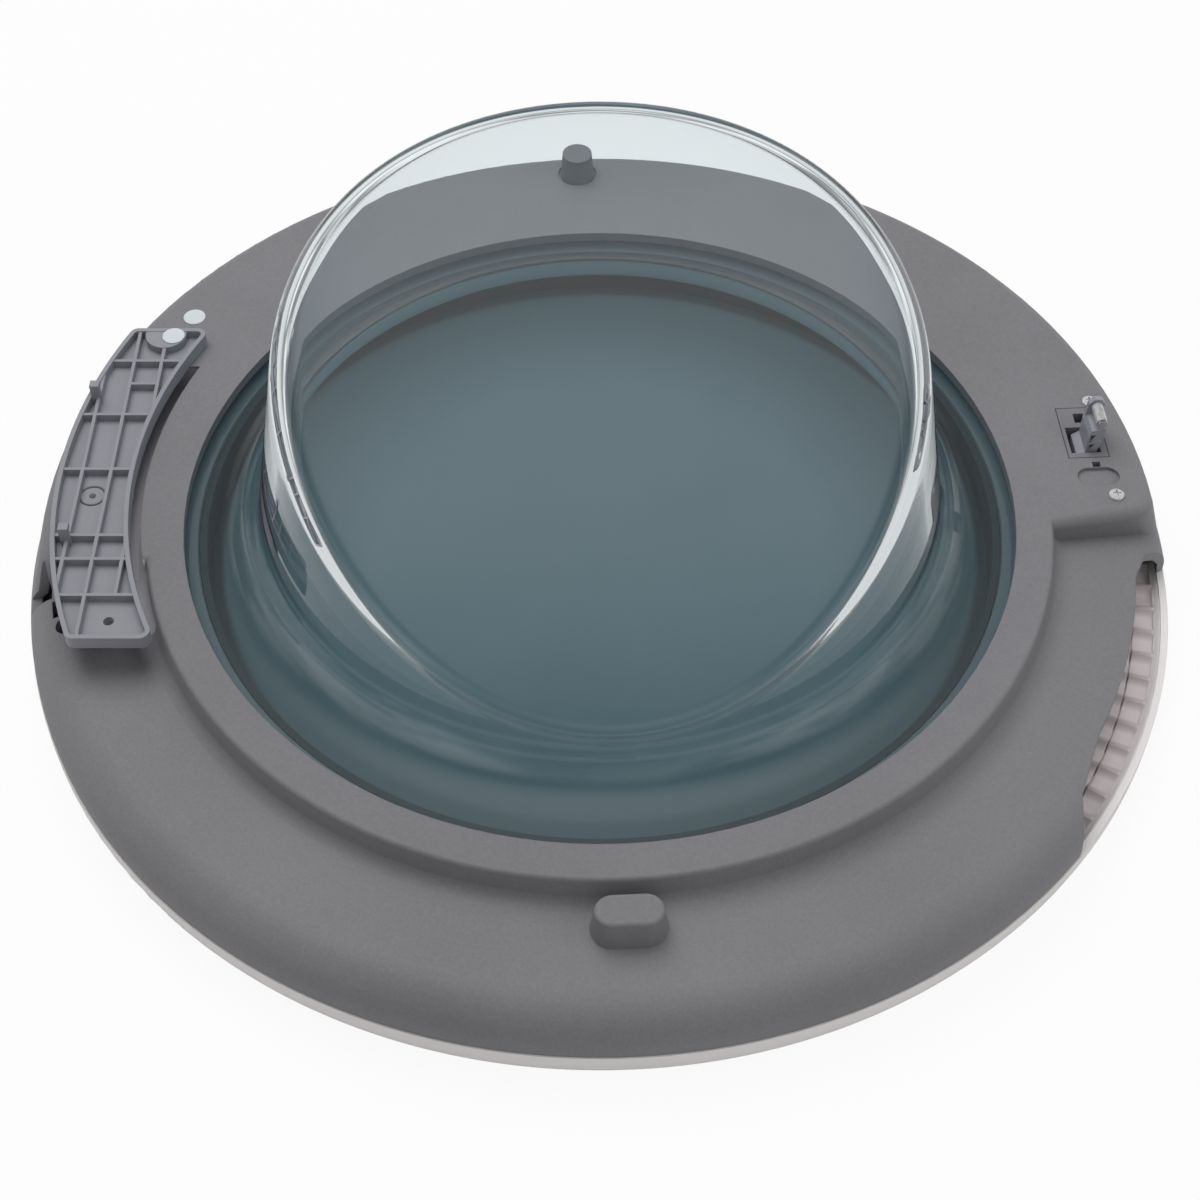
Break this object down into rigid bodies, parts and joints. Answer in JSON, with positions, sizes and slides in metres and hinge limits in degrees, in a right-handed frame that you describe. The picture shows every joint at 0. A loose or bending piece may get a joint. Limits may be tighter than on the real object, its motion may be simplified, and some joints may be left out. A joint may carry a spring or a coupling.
{
  "type": "washing machine door",
  "caption": "Round front-loader door lying on its front: white ring with finger grip, grey inner frame, slanted glass bowl, sprung latch hook and a loose hinge cover.",
  "frame": {"origin": "centre of the ring on the plane that its front face rests on", "axes": "+Z out of the inner side of the door, +X from the hinge side to the latch, +Y to the buffer plug"},
  "size_m": [0.48, 0.48, 0.1649],
  "materials": {
    "white_plastic": "satin white moulding",
    "grey_plastic": "fine matte grey moulding",
    "cover_plastic": "fine matte grey moulding",
    "smoked_plastic": "smoked clear plastic",
    "tinted_glass": "pressed clear glass",
    "soft_rubber": "flat gasket",
    "grey_rubber": "matte soft buffer",
    "bright_steel": "bright zinc plated"
  },
  "bodies": {
    "door": {"front_ring": "white_plastic", "front_window": "smoked_plastic", "glass_gasket": "soft_rubber", "glass_bowl": "tinted_glass", "inner_frame": "grey_plastic", "round_buffer": "grey_rubber", "latch_housing": "grey_plastic", "latch_pivot_pin": "bright_steel", "latch_screws": "bright_steel", "frame_screw": "bright_steel", "hinge_plate": "bright_steel", "hinge_plate_screws": "bright_steel", "hinge_cover": "cover_plastic"},
    "hook": {"latch_hook": "grey_plastic", "latch_spring": "bright_steel", "latch_roller_pin": "bright_steel"},
    "roller": {"latch_roller": "bright_steel"}
  },
  "joints": [
    {"name": "hook_pivot", "type": "hinge", "parent": "door", "child": "hook", "pos_m": [0.2084, 0.0225, 0.038], "axis": [0, 1, 0], "range_deg": [-10, 0], "stiffness_Nm_per_rad": 0.05, "springref_deg": 20.05},
    {"name": "roller_spin", "type": "hinge", "parent": "hook", "child": "roller", "pos_m": [0.2116, 0.0225, 0.066], "axis": [0, 1, 0], "continuous": true}
  ]
}
